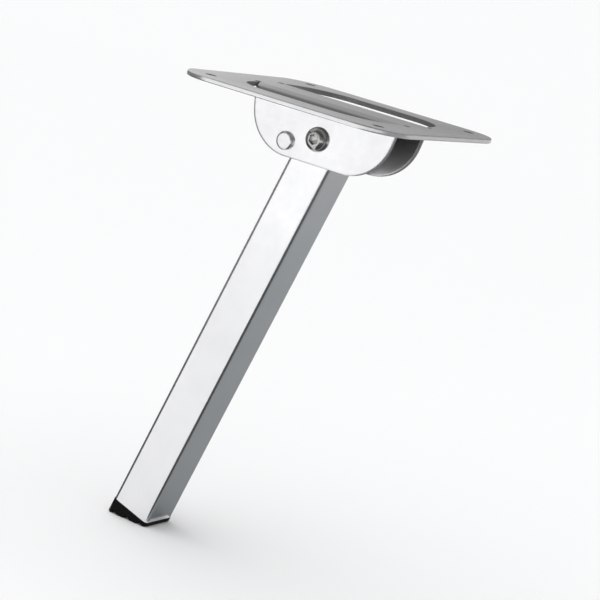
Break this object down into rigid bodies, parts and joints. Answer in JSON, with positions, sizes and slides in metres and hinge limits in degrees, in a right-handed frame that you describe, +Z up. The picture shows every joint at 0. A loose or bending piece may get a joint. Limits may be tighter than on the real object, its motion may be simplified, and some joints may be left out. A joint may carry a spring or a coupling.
{
  "type": "folding table leg",
  "caption": "Square steel tube leg that folds on a bolt between two cheeks bent out of a square screw-on plate, with a black plastic wedge foot.",
  "frame": {"origin": "middle of the mounting plate's top face, which lies against the underside of the table", "axes": "+Z up into the table, +X to the side that the leg folds to, +Y along the pivot, away from the bolt's head"},
  "size_m": [0.1404, 0.13, 0.252],
  "materials": {
    "plated_sheet": "bright zinc plated pressed steel, semi-gloss",
    "plated_tube": "bright plated steel tube, semi-gloss",
    "plated_fastener": "bright zinc plated steel",
    "bare_steel": "turned steel, satin",
    "black_plastic": "moulded black plastic, fine texture",
    "nylon": "natural nylon"
  },
  "bodies": {
    "bracket": {"mounting_plate": "plated_sheet", "pivot_bolt": "plated_fastener", "stop_rivet": "plated_fastener", "flat_washer": "plated_fastener", "lock_nut": "plated_fastener", "nut_insert": "nylon", "friction_washer_near": "nylon", "friction_washer_far": "nylon"},
    "leg": {"leg_tube": "plated_tube", "foot": "black_plastic", "spacer_sleeve": "bare_steel"}
  },
  "joints": [
    {"name": "leg_fold", "type": "hinge", "parent": "bracket", "child": "leg", "pos_m": [0, 0, -0.01934], "axis": [0, -1, 0], "range_deg": [0, 105]}
  ]
}
